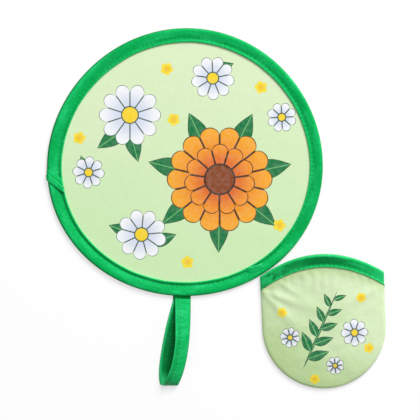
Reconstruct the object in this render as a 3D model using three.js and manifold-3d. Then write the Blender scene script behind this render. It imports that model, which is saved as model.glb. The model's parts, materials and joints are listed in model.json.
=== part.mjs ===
// A round spring-hoop hand fan that twists down into a three-turn coil, with its strap and its cloth pouch.
// Millimetres, +Z up. The fan lies face up, and the origin is under the rim where the strap is sewn on.
import * as THREE from "three";
import Module from "manifold-3d";
import { mergeVertices } from "three/addons/utils/BufferGeometryUtils.js";

// Fan ring: slightly oval and three-cornered, as the hoop settles after being coiled
const FAN_WIDTH = 240;
const FAN_HEIGHT = 233;
const FAN_TURN = THREE.MathUtils.degToRad(6);
const RING_LOBE = 1;
const RING_LOBE_ANGLE = THREE.MathUtils.degToRad(86);
const SECTORS = 15;
const SECTOR_STEPS = 5;
const SECTOR_GAP = 0.3;

// Cloth, tape, the room left round them and the distance at which corners count as one
const CLOTH = 0.4;
const TAPE = 0.5;
const CLEARANCE = 0.3;
const MERGE_TOLERANCE = 1e-4;

// Spring hoop: a flat steel strip on edge, its two ends held in a crimped sleeve
const HOOP_WIDTH = 2;
const HOOP_THICKNESS = 0.45;
const HOOP_LINK_GAP = 0.8;
const SLEEVE_FIT = 0.1;
const SLEEVE_WALL = 0.25;
const SLEEVE_ROOM = 0.15;
const SLEEVE_LENGTH = 9;

// Rim binding: tape folded over the hoop and the disc's edge
const BINDING_WIDTH = 12.2;
const RIM_FLAT_START = 1;
const RIM_FLAT_END = 3.4;
const RIM_SHOULDER = 6;
const RIM_CORNER = 0.4;
const RIM_SIDE_HALF = 0.8;
const HEM_SLOT_START = 4.6;
const LAP_LENGTH = 6;
const LAP_ANGLE = THREE.MathUtils.degToRad(184);
const LAP_SLANT = THREE.MathUtils.degToRad(38);
const LAP_UNDERLAP = 0.6;

// Strap loop: one folded tape, both ends sewn to the rim
const STRAP_WIDTH = 13.5;
const STRAP_THICKNESS = 1.2;
const STRAP_LENGTH = 75;
const STRAP_OFFSET = -2.6;
const STRAP_STEPS = 60;
const STRAP_TACK_RADIUS = 1.35;
const STRAP_TACK_SIDES = 12;
const STRAP_SWELL = 9;
const STRAP_SAG = 1.1;
const STRAP_LEAN_FRONT = 10;
const STRAP_LEAN_BACK = 13;
const STRAP_STAGGER = 2;

// Pouch: two round-bottomed panels sewn along the sides, with a taped mouth that arches up
const POUCH_WIDTH = 107.4;
const POUCH_SIDE = 45;
const POUCH_ARCH = 16.3;
const POUCH_CLOTH = 0.5;
const POUCH_DOME = 7.5;
const POUCH_SHOULDER = 20;
const POUCH_SEAM_INSET = 1.5;
const POUCH_SEAM_WIDTH = 4;
const POUCH_SEAM_THICKNESS = 0.6;
const POUCH_BINDING = 11;
const POUCH_MARGIN = 4;
const POUCH_GAP = 0.6;
const POUCH_CORNER_ANGLE = THREE.MathUtils.degToRad(-63.4);
const POUCH_TURN = THREE.MathUtils.degToRad(2.4);
const OUTLINE_STEPS = 8;
const SHOULDER_STEPS = 4;

const HOOP_SEAT = TAPE + SLEEVE_ROOM + SLEEVE_WALL + SLEEVE_FIT;
const CHANNEL_HALF = HOOP_WIDTH / 2 + SLEEVE_FIT + SLEEVE_WALL + SLEEVE_ROOM;
const CHANNEL_END = HOOP_SEAT + HOOP_THICKNESS + CLEARANCE;
const RIM_HALF = CHANNEL_HALF + TAPE;
const SLOT_HALF = CLOTH / 2 + CLEARANCE;
const HEM_HALF = SLOT_HALF + TAPE;
const DISC_INSET = CHANNEL_END + CLEARANCE;
const STRAP_START = STRAP_TACK_RADIUS + CLEARANCE;
const SECTOR_ANGLE = (2 * Math.PI) / SECTORS;
const STRAP_ANGLE = -Math.PI / 2 - FAN_TURN;

const satinGreen = { color: 0x12b25c, roughness: 0.5, metalness: 0 };
const paleCloth = { color: 0xd6edbf, roughness: 0.75, metalness: 0 };
const springSteel = { color: 0xb9bec4, roughness: 0.3, metalness: 1 };

const wasm = await Module();
wasm.setup();

function solidOf(geometry) {
  const bare = geometry.clone();
  bare.deleteAttribute("normal");
  bare.deleteAttribute("uv");
  const merged = mergeVertices(bare, MERGE_TOLERANCE);
  const vertProperties = new Float32Array(merged.attributes.position.array);
  const triVerts = new Uint32Array(merged.index.array);
  return new wasm.Manifold(new wasm.Mesh({ numProp: 3, vertProperties, triVerts }));
}

function geometryOf(solid) {
  const mesh = solid.getMesh();
  const geometry = new THREE.BufferGeometry();
  geometry.setAttribute("position", new THREE.BufferAttribute(mesh.vertProperties, 3));
  geometry.setIndex(new THREE.BufferAttribute(mesh.triVerts, 1));
  geometry.computeVertexNormals();
  return geometry;
}

function addMesh(parent, name, geometry, look) {
  const mesh = new THREE.Mesh(geometry, new THREE.MeshStandardMaterial(look));
  mesh.name = name;
  parent.add(mesh);
  return mesh;
}

// A point on the oval ring, at an inset from its outer edge
function ringPoint(angle, inset) {
  const lobe = RING_LOBE * Math.cos(3 * (angle + FAN_TURN - RING_LOBE_ANGLE));
  const x = (FAN_WIDTH / 2 + lobe - inset) * Math.cos(angle);
  const y = (FAN_HEIGHT / 2 + lobe - inset) * Math.sin(angle);
  return new THREE.Vector2(x, y).rotateAround(new THREE.Vector2(), FAN_TURN);
}

class RingArc extends THREE.Curve {
  constructor(from, to, gap) {
    super();
    const trim = gap / FAN_WIDTH;
    this.from = from + trim;
    this.to = to - trim;
  }

  getPoint(t, target = new THREE.Vector3()) {
    const p = ringPoint(this.from + (this.to - this.from) * t, 0);
    return target.set(p.x, p.y, RIM_HALF);
  }
}

// A cross-section given as inset from the outer edge and height from the middle plane
function ringSection(points) {
  return new THREE.Shape(points.map(([inset, height]) => new THREE.Vector2(-height, inset)));
}

function alongPath(section, path, steps) {
  return new THREE.ExtrudeGeometry(section, { steps, extrudePath: path, bevelEnabled: false });
}

function sectorName(name, sector) {
  return name + "_" + String(sector + 1).padStart(2, "0");
}

function sectorArc(sector, gap) {
  const middle = STRAP_ANGLE + sector * SECTOR_ANGLE;
  return new RingArc(middle - SECTOR_ANGLE / 2, middle + SECTOR_ANGLE / 2, gap);
}

// Spring hoop
const hoopSection = ringSection([
  [HOOP_SEAT, -HOOP_WIDTH / 2],
  [HOOP_SEAT + HOOP_THICKNESS, -HOOP_WIDTH / 2],
  [HOOP_SEAT + HOOP_THICKNESS, HOOP_WIDTH / 2],
  [HOOP_SEAT, HOOP_WIDTH / 2],
]);

function hoopLink(sector) {
  return alongPath(hoopSection, sectorArc(sector, HOOP_LINK_GAP), SECTOR_STEPS);
}

// The sleeve is straight, over the first stretch of the strip beside the strap
function hoopSleeve() {
  const arc = sectorArc(0, HOOP_LINK_GAP);
  const start = arc.getPointAt(0);
  const along = arc.getPointAt(1 / SECTOR_STEPS).sub(start).normalize();
  const end = start.clone().addScaledVector(along, SLEEVE_LENGTH);
  const inner = SLEEVE_FIT;
  const outer = SLEEVE_FIT + SLEEVE_WALL;
  const corners = (grow) => [
    [HOOP_SEAT - grow, -HOOP_WIDTH / 2 - grow],
    [HOOP_SEAT + HOOP_THICKNESS + grow, -HOOP_WIDTH / 2 - grow],
    [HOOP_SEAT + HOOP_THICKNESS + grow, HOOP_WIDTH / 2 + grow],
    [HOOP_SEAT - grow, HOOP_WIDTH / 2 + grow],
  ];
  const section = ringSection(corners(outer));
  section.holes.push(new THREE.Path(ringSection(corners(inner)).getPoints()));
  return alongPath(section, new THREE.LineCurve3(start, end), 1);
}

// Rim binding: a C-section with a channel for the hoop and a slot for the disc
const topHalf = [
  [0, RIM_SIDE_HALF],
  [RIM_CORNER, RIM_HALF - RIM_CORNER],
  [RIM_FLAT_START, RIM_HALF],
  [RIM_FLAT_END, RIM_HALF],
  [RIM_SHOULDER, HEM_HALF],
  [BINDING_WIDTH, HEM_HALF],
  [BINDING_WIDTH, SLOT_HALF],
  [HEM_SLOT_START, SLOT_HALF],
  [CHANNEL_END, CHANNEL_HALF],
  [TAPE, CHANNEL_HALF],
];
const bottomHalf = topHalf.map(([inset, height]) => [inset, -height]).reverse();
const bindingSection = ringSection([...topHalf, ...bottomHalf]);

function rimBinding(sector) {
  return alongPath(bindingSection, sectorArc(sector, SECTOR_GAP), SECTOR_STEPS);
}

// The tape's folded end laps over the rim with slanted ends
function bindingLap() {
  const near = CLEARANCE;
  const far = CLEARANCE + TAPE;
  const cover = (out) => [
    [BINDING_WIDTH, HEM_HALF + out],
    [RIM_SHOULDER, HEM_HALF + out],
    [RIM_FLAT_END, RIM_HALF + out],
    [RIM_FLAT_START - out / 2, RIM_HALF + out],
    [RIM_CORNER - out, RIM_HALF - RIM_CORNER + out / 2],
    [-out, RIM_SIDE_HALF],
    [-out, -LAP_UNDERLAP],
  ];
  const section = ringSection([...cover(near), ...cover(far).reverse()]);
  const half = LAP_LENGTH / FAN_WIDTH;
  const reach = BINDING_WIDTH / FAN_WIDTH;
  const arc = new RingArc(LAP_ANGLE - half - reach, LAP_ANGLE + half + reach, 0);
  const slope = Math.tan(LAP_SLANT) * BINDING_WIDTH;
  const slantedCut = new THREE.Shape([
    new THREE.Vector2(-far - TAPE, -LAP_LENGTH / 2 + slope / 2),
    new THREE.Vector2(BINDING_WIDTH + TAPE, -LAP_LENGTH / 2 - slope / 2),
    new THREE.Vector2(BINDING_WIDTH + TAPE, LAP_LENGTH / 2 - slope / 2),
    new THREE.Vector2(-far - TAPE, LAP_LENGTH / 2 + slope / 2),
  ]);
  const cutter = new THREE.ExtrudeGeometry(slantedCut, { depth: 4 * RIM_HALF, bevelEnabled: false });
  const rim = ringPoint(LAP_ANGLE, 0);
  cutter.rotateZ(Math.atan2(-rim.y, -rim.x));
  cutter.translate(rim.x, rim.y, 0);
  return geometryOf(solidOf(alongPath(section, arc, SECTOR_STEPS)).intersect(solidOf(cutter)));
}

// Disc cloth: each gore runs from the ring's middle into the binding's slot
function discGore(sector) {
  const arc = sectorArc(sector, SECTOR_GAP);
  const apex = SECTOR_GAP / 2 / Math.sin(SECTOR_ANGLE / 2);
  const middle = (arc.from + arc.to) / 2;
  const aim = ringPoint(middle, 0).normalize();
  const outline = [aim.multiplyScalar(apex)];
  for (let i = 0; i <= SECTOR_STEPS; i++) {
    outline.push(ringPoint(arc.from + ((arc.to - arc.from) * i) / SECTOR_STEPS, DISC_INSET));
  }
  const gore = new THREE.ExtrudeGeometry(new THREE.Shape(outline), { depth: CLOTH, bevelEnabled: false });
  gore.translate(0, 0, RIM_HALF - CLOTH / 2);
  return gore;
}

// Strap loop: a teardrop seen from the side, its back strand on the floor and its front strand swelling up
class StrapPath extends THREE.Curve {
  getPoint(t, target = new THREE.Vector3()) {
    const turn = 2 * Math.PI * t;
    const share = (1 - Math.cos(turn)) / 2;
    const stack = ((STRAP_THICKNESS + CLEARANCE) / 2) * Math.cos(turn / 2);
    const bow = Math.sin(turn) * Math.sin(turn / 2);
    const height = stack + (bow > 0 ? STRAP_SWELL : STRAP_SAG) * bow;
    return target.set(0, -STRAP_START - share * STRAP_LENGTH, height);
  }
}

// Both strands lean to the left on the way to the turn, the back one from its root on
function strapLoop() {
  const section = new THREE.Shape([
    new THREE.Vector2(-STRAP_WIDTH / 2, -STRAP_THICKNESS / 2),
    new THREE.Vector2(STRAP_WIDTH / 2, -STRAP_THICKNESS / 2),
    new THREE.Vector2(STRAP_WIDTH / 2, STRAP_THICKNESS / 2),
    new THREE.Vector2(-STRAP_WIDTH / 2, STRAP_THICKNESS / 2),
  ]);
  const loop = alongPath(section, new StrapPath(), STRAP_STEPS);
  const at = loop.attributes.position;
  for (let i = 0; i < at.count; i++) {
    const share = (-STRAP_START - at.getY(i)) / STRAP_LENGTH;
    const front = THREE.MathUtils.smoothstep(at.getZ(i), -STRAP_THICKNESS, STRAP_THICKNESS);
    const backLean = STRAP_STAGGER + STRAP_LEAN_BACK * share;
    const frontLean = STRAP_LEAN_FRONT * share ** 3;
    at.setX(i, at.getX(i) - THREE.MathUtils.lerp(backLean, frontLean, front));
  }
  loop.computeVertexNormals();
  return loop;
}

// The sewn root that gathers both ends of the strap against the rim
function strapTack() {
  const width = STRAP_WIDTH + STRAP_STAGGER;
  const roll = new THREE.CylinderGeometry(STRAP_TACK_RADIUS, STRAP_TACK_RADIUS, width, STRAP_TACK_SIDES);
  roll.rotateZ(Math.PI / 2);
  roll.translate(-STRAP_STAGGER / 2, 0, 0);
  return roll;
}

// Pouch outline: round bottom, straight sides and an arched mouth, with the sides and mouth moved outwards
function pouchOutline(outwards, lift) {
  const half = POUCH_WIDTH / 2 + outwards;
  const peak = POUCH_SIDE + POUCH_ARCH + lift;
  const corner = peak - POUCH_ARCH * (half / (POUCH_WIDTH / 2)) ** 2;
  const outline = new THREE.Shape();
  outline.moveTo(half, corner);
  outline.quadraticCurveTo(0, 2 * peak - corner, -half, corner);
  outline.lineTo(-half, 0);
  outline.absarc(0, 0, half, Math.PI, 2 * Math.PI);
  return outline;
}

function slab(outline, from, to) {
  const made = new THREE.ExtrudeGeometry(outline, {
    depth: to - from,
    bevelEnabled: false,
    curveSegments: OUTLINE_STEPS,
  });
  made.translate(0, 0, from);
  return solidOf(made);
}

// The space under the front panel's swell, grown by an offset, running on past the mouth
function pouchSwell(offset, base) {
  const half = POUCH_WIDTH / 2;
  const past = POUCH_SIDE + 2 * POUCH_ARCH + POUCH_SHOULDER;
  const outline = new THREE.Shape();
  outline.moveTo(half, past);
  outline.lineTo(-half, past);
  outline.lineTo(-half, 0);
  outline.absarc(0, 0, half, Math.PI, 2 * Math.PI);
  const made = new THREE.ExtrudeGeometry(outline, {
    depth: POUCH_DOME,
    bevelThickness: POUCH_DOME + offset,
    bevelSize: POUCH_SHOULDER,
    bevelOffset: offset - POUCH_SHOULDER,
    bevelSegments: SHOULDER_STEPS,
    curveSegments: OUTLINE_STEPS,
  });
  made.translate(0, 0, base - POUCH_DOME);
  return solidOf(made);
}

const POUCH_BACK_BASE = TAPE + CLEARANCE;
const POUCH_BACK_TOP = POUCH_BACK_BASE + POUCH_CLOTH;
const POUCH_SEAM_BASE = POUCH_BACK_TOP + CLEARANCE;
const POUCH_MOUTH_BASE = POUCH_SEAM_BASE + TAPE + CLEARANCE;
const POUCH_TOP = POUCH_SEAM_BASE + POUCH_DOME + 4 * TAPE;

function pouchBack() {
  return geometryOf(slab(pouchOutline(0, 0), POUCH_BACK_BASE, POUCH_BACK_TOP));
}

function pouchFront() {
  const shell = pouchSwell(0, POUCH_SEAM_BASE).subtract(pouchSwell(-POUCH_CLOTH, POUCH_SEAM_BASE));
  return geometryOf(shell.intersect(slab(pouchOutline(0, 0), POUCH_SEAM_BASE, POUCH_TOP)));
}

// The seam allowance turned inside, below the mouth tapes
function pouchSeam() {
  const top = POUCH_SEAM_BASE + POUCH_SEAM_THICKNESS;
  const below = -POUCH_BINDING - 2 * CLEARANCE;
  const outer = slab(pouchOutline(-POUCH_SEAM_INSET, below), POUCH_SEAM_BASE, top);
  const inner = slab(pouchOutline(-POUCH_SEAM_INSET - POUCH_SEAM_WIDTH, POUCH_ARCH), 0, POUCH_TOP);
  return geometryOf(outer.subtract(inner));
}

// Tape folded over the back panel's mouth edge
function pouchMouthBack() {
  const top = POUCH_BACK_TOP + CLEARANCE + TAPE;
  const tape = slab(pouchOutline(-POUCH_SEAM_INSET, CLEARANCE + TAPE), 0, top);
  const below = slab(pouchOutline(POUCH_MARGIN, -POUCH_BINDING), -TAPE, top + TAPE);
  const slot = slab(pouchOutline(POUCH_MARGIN, CLEARANCE), TAPE, POUCH_BACK_TOP + CLEARANCE);
  return geometryOf(tape.subtract(below).subtract(slot));
}

// Tape folded over the front panel's mouth edge, following its swell
function pouchMouthFront() {
  const skin = CLEARANCE + TAPE;
  const thick = pouchSwell(skin, POUCH_SEAM_BASE).subtract(pouchSwell(-POUCH_CLOTH - skin, POUCH_SEAM_BASE));
  const inside = pouchSwell(-POUCH_CLOTH - CLEARANCE, POUCH_SEAM_BASE);
  const gap = pouchSwell(CLEARANCE, POUCH_SEAM_BASE).subtract(inside);
  const tape = thick.intersect(slab(pouchOutline(skin, skin), POUCH_MOUTH_BASE, POUCH_TOP + skin));
  const below = slab(pouchOutline(POUCH_MARGIN, -POUCH_BINDING), 0, POUCH_TOP + POUCH_DOME);
  const slot = gap.intersect(slab(pouchOutline(POUCH_MARGIN, CLEARANCE), 0, POUCH_TOP + POUCH_DOME));
  return geometryOf(tape.subtract(below).subtract(slot));
}

const fan = new THREE.Group();
for (let sector = 0; sector < SECTORS; sector++) {
  addMesh(fan, sectorName("hoop_link", sector), hoopLink(sector), springSteel);
  addMesh(fan, sectorName("rim_binding", sector), rimBinding(sector), satinGreen);
  addMesh(fan, sectorName("disc_gore", sector), discGore(sector), paleCloth);
}
addMesh(fan, "hoop_sleeve", hoopSleeve(), springSteel);
addMesh(fan, "binding_lap", bindingLap(), satinGreen);

const strap = new THREE.Group();
const strapRoot = ringPoint(STRAP_ANGLE, 0);
strap.position.set(STRAP_OFFSET, strapRoot.y - CLEARANCE - STRAP_TACK_RADIUS, RIM_HALF);
addMesh(strap, "strap_loop", strapLoop(), satinGreen);
addMesh(strap, "strap_tack", strapTack(), satinGreen);

// The pouch lies with one corner of its mouth beside the rim
const pouch = new THREE.Group();
const pouchCorner = new THREE.Vector2(-POUCH_WIDTH / 2, POUCH_SIDE);
pouchCorner.rotateAround(new THREE.Vector2(), POUCH_TURN);
const pouchPlace = ringPoint(POUCH_CORNER_ANGLE, -POUCH_GAP - CLEARANCE - TAPE).sub(pouchCorner);
pouch.position.set(pouchPlace.x, pouchPlace.y, 0);
pouch.rotation.z = POUCH_TURN;
addMesh(pouch, "pouch_back_panel", pouchBack(), paleCloth);
addMesh(pouch, "pouch_front_panel", pouchFront(), paleCloth);
addMesh(pouch, "pouch_seam", pouchSeam(), paleCloth);
addMesh(pouch, "pouch_mouth_tape_back", pouchMouthBack(), satinGreen);
addMesh(pouch, "pouch_mouth_tape_front", pouchMouthFront(), satinGreen);

const set = new THREE.Group();
const origin = ringPoint(STRAP_ANGLE, (RIM_FLAT_START + RIM_FLAT_END) / 2);
set.position.set(-origin.x, -origin.y, 0);
set.add(fan, strap, pouch);

const part = new THREE.Group();
part.add(set);
export default part;
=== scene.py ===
import json
from bisect import bisect_left
from functools import partialmethod
from itertools import accumulate
from math import ceil, copysign, cos, dist, exp, hypot, pi, radians, sin, sqrt, tan

import bpy
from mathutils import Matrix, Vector, noise


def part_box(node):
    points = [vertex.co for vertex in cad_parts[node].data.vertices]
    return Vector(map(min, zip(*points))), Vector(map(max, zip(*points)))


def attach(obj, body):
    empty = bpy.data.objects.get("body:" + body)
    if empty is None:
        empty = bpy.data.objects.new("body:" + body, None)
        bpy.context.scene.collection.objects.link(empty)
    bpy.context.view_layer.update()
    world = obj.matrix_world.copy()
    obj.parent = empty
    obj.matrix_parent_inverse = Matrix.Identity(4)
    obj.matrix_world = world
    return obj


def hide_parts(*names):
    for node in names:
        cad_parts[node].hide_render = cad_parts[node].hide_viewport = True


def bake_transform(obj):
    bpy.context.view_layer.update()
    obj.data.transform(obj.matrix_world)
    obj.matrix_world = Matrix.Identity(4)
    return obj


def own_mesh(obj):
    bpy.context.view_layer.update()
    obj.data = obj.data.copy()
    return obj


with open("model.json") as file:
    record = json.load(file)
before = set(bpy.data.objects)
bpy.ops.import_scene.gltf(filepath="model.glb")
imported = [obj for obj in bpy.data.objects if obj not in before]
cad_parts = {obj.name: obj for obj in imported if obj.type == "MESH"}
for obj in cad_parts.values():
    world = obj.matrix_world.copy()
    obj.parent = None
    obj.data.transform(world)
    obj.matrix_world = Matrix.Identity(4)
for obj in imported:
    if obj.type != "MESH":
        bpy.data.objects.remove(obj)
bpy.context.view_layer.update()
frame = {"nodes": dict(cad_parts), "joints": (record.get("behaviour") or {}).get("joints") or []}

scene = bpy.context.scene

# Spring hoop
# One flat strip of spring steel on edge, closed to a ring by a crimped sleeve and hidden in the binding.
# It shows only at the open end of the coil, as drawn steel with fine lines along the strip.


def paint(red, green, blue):
    """A colour from its screen values."""
    def linear(value):
        share = value / 255
        return share / 12.92 if share <= 0.04045 else ((share + 0.055) / 1.055) ** 2.4
    return (linear(red), linear(green), linear(blue), 1.0)


STEEL_LINES = (60, 60, 4000)
STEEL_RELIEF = 0.00002
STEEL_BRIGHT = paint(196, 199, 203)
STEEL_DULL = paint(150, 152, 156)


def feed(socket, value):
    """Sets an input to a number or a colour, or links a value to it."""
    if isinstance(value, Value):
        socket.id_data.links.new(value.socket, socket)
    else:
        socket.default_value = value


def add_node(tree, kind, inputs, **settings):
    node = tree.nodes.new("ShaderNode" + kind)
    for name, value in settings.items():
        setattr(node, name, value)
    for key, value in inputs.items():
        feed(node.inputs[key], value)
    return node


class Value:
    """An output of a node, to write sums and mixes with. Each one adds a node to the tree."""

    def __init__(self, node, output=0):
        self.tree = node.id_data
        self.socket = node.outputs[output]

    def into(self, kind, inputs, output=0, **settings):
        return Value(add_node(self.tree, kind, inputs, **settings), output)

    def math(self, operation, *others):
        return self.into("Math", dict(enumerate((self, *others))), operation=operation)

    __add__ = partialmethod(math, "ADD")
    __sub__ = partialmethod(math, "SUBTRACT")
    __mul__ = partialmethod(math, "MULTIPLY")
    __truediv__ = partialmethod(math, "DIVIDE")
    __pow__ = partialmethod(math, "POWER")
    __abs__ = partialmethod(math, "ABSOLUTE")

    def __rsub__(self, other):
        return self.into("Math", {0: other, 1: self}, operation="SUBTRACT")

    def ease(self, low, high, to_low=0.0, to_high=1.0):
        """A smooth step from one level to another between two limits."""
        inputs = {"Value": self, "From Min": low, "From Max": high, "To Min": to_low, "To Max": to_high}
        return self.into("MapRange", inputs, "Result", interpolation_type="SMOOTHSTEP")

    def fade(self, low, high, level=1.0):
        """A smooth step from a level to nothing."""
        return self.ease(low, high, level, 0.0)

    def mix(self, first, second):
        """One colour turning into another by this share."""
        return self.into("Mix", {0: self, 6: first, 7: second}, 2, data_type="RGBA")

    def noise(self, scale, detail=2.0):
        return self.into("TexNoise", {"Vector": self, "Scale": scale, "Detail": detail}, "Fac")

    def axes(self):
        node = add_node(self.tree, "SeparateXYZ", {0: self})
        return Value(node, "X"), Value(node, "Y")

    def away_from(self, origin):
        return self.into("VectorMath", {0: self, 1: origin}, operation="SUBTRACT")

    def scaled(self, scale):
        return self.into("VectorMath", {0: self, "Scale": scale}, operation="SCALE")

    def stretched(self, scales):
        return self.into("Mapping", {"Vector": self, "Scale": scales})

    def group(self, tree, **inputs):
        """The outputs by name of a node group at this place."""
        node = add_node(self.tree, "Group", {}, node_tree=tree)
        for name, value in dict(inputs, place=self).items():
            feed(node.inputs[name.capitalize()], value)
        return by_name(node)


def by_name(node):
    return {socket.name: Value(node, index) for index, socket in enumerate(node.outputs)}


def new_material(name, **fixed):
    """A material and its shader, with constant values set on the shader."""
    made = bpy.data.materials.new(name)
    made.use_nodes = True
    shader = made.node_tree.nodes["Principled BSDF"]
    for label, value in fixed.items():
        shader.inputs[label.replace("_", " ")].default_value = value
    return made, shader


def solid_place(made):
    return Value(add_node(made.node_tree, "TexCoord", {}), "Object")


def cover(shader, colour, relief, depth):
    """Gives a shader its colour, and its relief at a depth in metres."""
    feed(shader.inputs["Base Color"], colour)
    feed(shader.inputs["Normal"], relief.into("Bump", {"Height": relief, "Distance": depth}))


def drawn_steel():
    """Bright steel with fine drawing lines and duller stains."""
    made, shader = new_material("drawn_steel", Metallic=1.0)
    place = solid_place(made)
    lines = place.stretched(STEEL_LINES).noise(1.0)
    colour = place.noise(90.0, 4.0).ease(0.35, 0.7).mix(STEEL_BRIGHT, STEEL_DULL)
    cover(shader, colour, lines, STEEL_RELIEF)
    feed(shader.inputs["Roughness"], lines.ease(0.2, 0.8, 0.25, 0.45))
    return made


steel = drawn_steel()
for name, node in frame["nodes"].items():
    if name.startswith("hoop_"):
        node.data.materials.clear()
        node.data.materials.append(steel)

# Disc cloth
# One round of thin nylon taffeta, printed on its face and held taut by the hoop.
# It is shown in the hoop's fifteen gores, which meet without a seam, because each folds its own way.
FAN_WIDTH = 0.240
FAN_HEIGHT = 0.233
FAN_TURN = radians(6)
RING_LOBE = 0.001
RING_LOBE_ANGLE = radians(86)
SECTORS = 15
SECTOR_ANGLE = 2 * pi / SECTORS
STRAP_ANGLE = -pi / 2 - FAN_TURN
RIM_REST_INSET = 0.0022
RIM_HALF = 0.002
DISC_INSET = 0.006
DISC_DROP = Vector((0, 0, -0.0001))
GORE_RINGS = 12
GORE_STEPS = 8
PRINT_SPAN = 0.300
CLOTH_WEAVE = 0.00032
CLOTH_FINISH = dict(Roughness=0.65, Specular_IOR_Level=0.12)
DISC_RELIEF = 0.0004
GROUND_TOP = paint(222, 240, 197)
GROUND_LOW = paint(208, 238, 184)
WORN_WHITE = paint(255, 255, 255)


def ring_offset(angle, inset):
    """A point of the oval ring from its middle, at an inset from the outer edge."""
    lobe = RING_LOBE * cos(3 * (angle + FAN_TURN - RING_LOBE_ANGLE))
    x = (FAN_WIDTH / 2 + lobe - inset) * cos(angle)
    y = (FAN_HEIGHT / 2 + lobe - inset) * sin(angle)
    cosine, sine = cos(FAN_TURN), sin(FAN_TURN)
    return Vector((cosine * x - sine * y, sine * x + cosine * y, 0))


ring_middle = Vector((0, 0, RIM_HALF)) - ring_offset(STRAP_ANGLE, RIM_REST_INSET)


def ring_point(angle, inset, height=0.0):
    return ring_middle + ring_offset(angle, inset) + Vector((0, 0, height))


def sector_start(sector):
    return STRAP_ANGLE + (sector - 0.5) * SECTOR_ANGLE


def sector_middle(sector):
    return sector_start(sector) + SECTOR_ANGLE / 2


def numbered(name, sector):
    """The name of a sector's piece. Names count from 1."""
    return "%s_%02d" % (name, sector + 1)


def shares(steps):
    """Even shares from 0 to 1."""
    return [step / steps for step in range(steps + 1)]


def new_piece(name, verts, faces, uv, *materials, second_from=None):
    """A smooth mesh with UV places. Its last faces may take a second material."""
    mesh = bpy.data.meshes.new(name)
    mesh.from_pydata(verts, [], faces)
    layer = mesh.uv_layers.new(name="UVMap")
    for loop in mesh.loops:
        layer.data[loop.index].uv = uv[loop.vertex_index]
    mesh.shade_smooth()
    for made in materials:
        mesh.materials.append(made)
    if second_from is not None:
        for polygon in mesh.polygons[second_from:]:
            polygon.material_index = 1
    piece = bpy.data.objects.new(name, mesh)
    scene.collection.objects.link(piece)
    return piece


def grid_faces(rows, columns, wrap=False):
    """Quads of a grid of vertices. Wrap joins each row's last column to its first."""
    faces = []
    for row in range(rows - 1):
        for column in range(columns if wrap else columns - 1):
            side = (column + 1) % columns
            here, above = row * columns, (row + 1) * columns
            faces.append((here + column, above + column, above + side, here + side))
    return faces


def turned_over(faces):
    return [tuple(reversed(face)) for face in faces]


def new_group(name, vectors, numbers):
    """Starts a node group and gives its inputs by name."""
    tree = bpy.data.node_groups.new(name, "ShaderNodeTree")
    for kind, labels in (("Vector", vectors), ("Float", numbers)):
        for label in labels:
            tree.interface.new_socket(label, in_out="INPUT", socket_type="NodeSocket" + kind)
    return by_name(tree.nodes.new("NodeGroupInput"))


def put_out(tree, values):
    """Ends a node group with its outputs by name."""
    for label in values:
        tree.interface.new_socket(label, in_out="OUTPUT", socket_type="NodeSocketFloat")
    result = tree.nodes.new("NodeGroupOutput")
    for label, value in values.items():
        feed(result.inputs[label], value)
    return tree


def weave_group():
    """Plain weave, a little uneven."""
    given = new_group("weave", ["Place"], ["Thread"])
    place = given["Place"]
    waves = [(axis / given["Thread"] * pi).math("SINE") for axis in place.axes()]
    return put_out(place.tree, {"Height": waves[0] * waves[1], "Tone": place.noise(260.0, 4.0)})


PRINT_LINE = 0.45
PRINT_BLUR = 0.15
LINE_BLUR = 0.25
PETAL_ROUND = 0.55
LEAF_POINT = 0.75
LINE_GREEN = paint(22, 74, 40)
LEAF_GREEN = paint(20, 122, 66)
LEAF_RIB = paint(120, 196, 120)


def blossom_group():
    """A flower in millimetres: petals, the lines round and between them, and the heart."""
    given = new_group("blossom", ["Place", "Middle"], ["Turn", "Reach", "Petals", "Notch", "Heart", "Line"])
    reach, petals, line = given["Reach"], given["Petals"], given["Line"]
    place = given["Place"].away_from(given["Middle"])
    away = place.into("VectorMath", {0: place}, "Value", operation="LENGTH")
    x, y = place.axes()
    angle = y.math("ARCTAN2", x) + given["Turn"]
    lobe = abs((angle * (petals * 0.5)).math("COSINE"))
    inside = reach * (1 - given["Notch"] * (1 - lobe ** PETAL_ROUND)) - away
    heart = given["Heart"] - away
    between = away * lobe * 2.0 / petals
    nearest = inside.math("MINIMUM", between.math("MAXIMUM", heart)).math("MINIMUM", abs(heart))
    petal_mask = inside.ease(-PRINT_BLUR, PRINT_BLUR)
    return put_out(place.tree, {
        "Petal mask": petal_mask,
        "Line mask": nearest.fade(line, line + LINE_BLUR) * petal_mask,
        "Heart mask": heart.ease(-PRINT_BLUR, PRINT_BLUR),
        "Depth": away / reach,
    })


def leaf_group():
    """A pointed leaf in millimetres, with outline and midrib."""
    given = new_group("leaf", ["Place", "Root"], ["Turn", "Length", "Width", "Line"])
    line = given["Line"]
    place = given["Place"].away_from(given["Root"])
    turned = {"Vector": place, "Angle": given["Turn"]}
    x, y = place.into("VectorRotate", turned, rotation_type="Z_AXIS").axes()
    share = (x / given["Length"]).math("MAXIMUM", 0.0).math("MINIMUM", 1.0)
    swell = (share ** LEAF_POINT * pi).math("SINE")
    inside = given["Width"] * 0.5 * swell - abs(y)
    mask = inside.ease(-0.05, 0.2)
    return put_out(place.tree, {
        "Leaf mask": mask,
        "Line mask": inside.fade(line, line + LINE_BLUR) * mask,
        "Rib mask": abs(y).fade(0.2, 0.5) * mask,
    })


weave = weave_group()
blossom = blossom_group()
leaf = leaf_group()


def print_leaf(colour, place, root, turn, length, width):
    """Draws one leaf over a colour."""
    turn = -radians(turn)
    marks = place.group(leaf, root=(*root, 0), turn=turn, length=length, width=width, line=PRINT_LINE)
    colour = marks["Leaf mask"].mix(colour, LEAF_GREEN)
    colour = marks["Rib mask"].mix(colour, LEAF_RIB)
    return marks["Line mask"].mix(colour, LINE_GREEN)


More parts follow.
